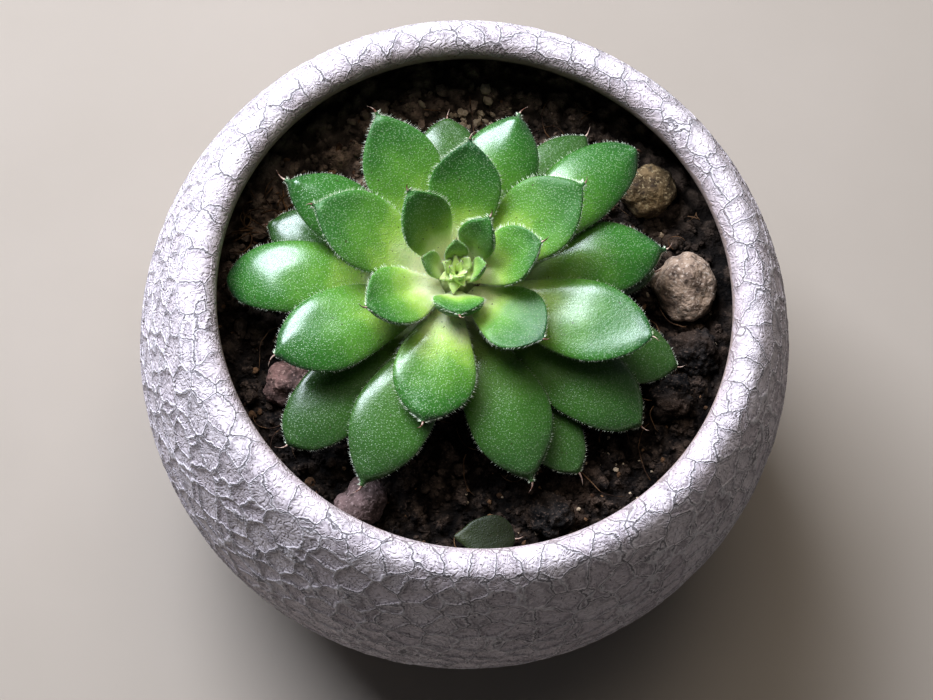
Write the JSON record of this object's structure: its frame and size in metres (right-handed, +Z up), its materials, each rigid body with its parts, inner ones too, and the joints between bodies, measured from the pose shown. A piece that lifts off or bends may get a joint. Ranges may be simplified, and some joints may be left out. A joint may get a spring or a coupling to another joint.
{
  "type": "potted succulent",
  "caption": "Low rosette of fleshy pointed leaves on a short stem, in a ball-shaped crackle-textured pot of dark soil with stones.",
  "frame": {"origin": "the middle of the pot's flat foot, at its lowest face", "axes": "+Z up along the pot's axis; +Y towards the back, so the object is looked at from the -Y side and above; +X to the right"},
  "size_m": [0.13, 0.13, 0.096],
  "materials": {
    "pot": "matte",
    "soil": "matte",
    "stone": "matte",
    "stem": "matte",
    "leaf": "satin",
    "young_leaf": "satin"
  },
  "bodies": {
    "root": {"bud_leaf_1": "young_leaf", "bud_leaf_2": "young_leaf", "bud_leaf_3": "young_leaf", "clod_1": "soil", "clod_2": "soil", "clod_3": "soil", "ground_leaf_1": "leaf", "ground_leaf_2": "leaf", "ground_leaf_3": "leaf", "ground_leaf_4": "leaf", "ground_leaf_5": "leaf", "ground_leaf_6": "leaf", "heart_leaf_1": "young_leaf", "heart_leaf_2": "young_leaf", "heart_leaf_3": "young_leaf", "inner_leaf_1": "leaf", "inner_leaf_2": "leaf", "inner_leaf_3": "leaf", "inner_leaf_4": "leaf", "inner_leaf_5": "leaf", "inner_leaf_6": "leaf", "inner_leaf_7": "leaf", "loose_leaf": "young_leaf", "lower_leaf_1": "leaf", "lower_leaf_2": "leaf", "lower_leaf_3": "leaf", "lower_leaf_4": "leaf", "lower_leaf_5": "leaf", "middle_leaf_1": "leaf", "middle_leaf_2": "leaf", "middle_leaf_3": "leaf", "middle_leaf_4": "leaf", "outer_leaf_1": "leaf", "outer_leaf_2": "leaf", "outer_leaf_3": "leaf", "outer_leaf_4": "leaf", "outer_leaf_5": "leaf", "outer_leaf_6": "leaf", "outer_leaf_7": "leaf", "pot": "pot", "soil": "soil", "stem": "stem", "stone_1": "stone", "stone_2": "stone", "stone_3": "stone", "stone_4": "stone"}
  },
  "joints": []
}
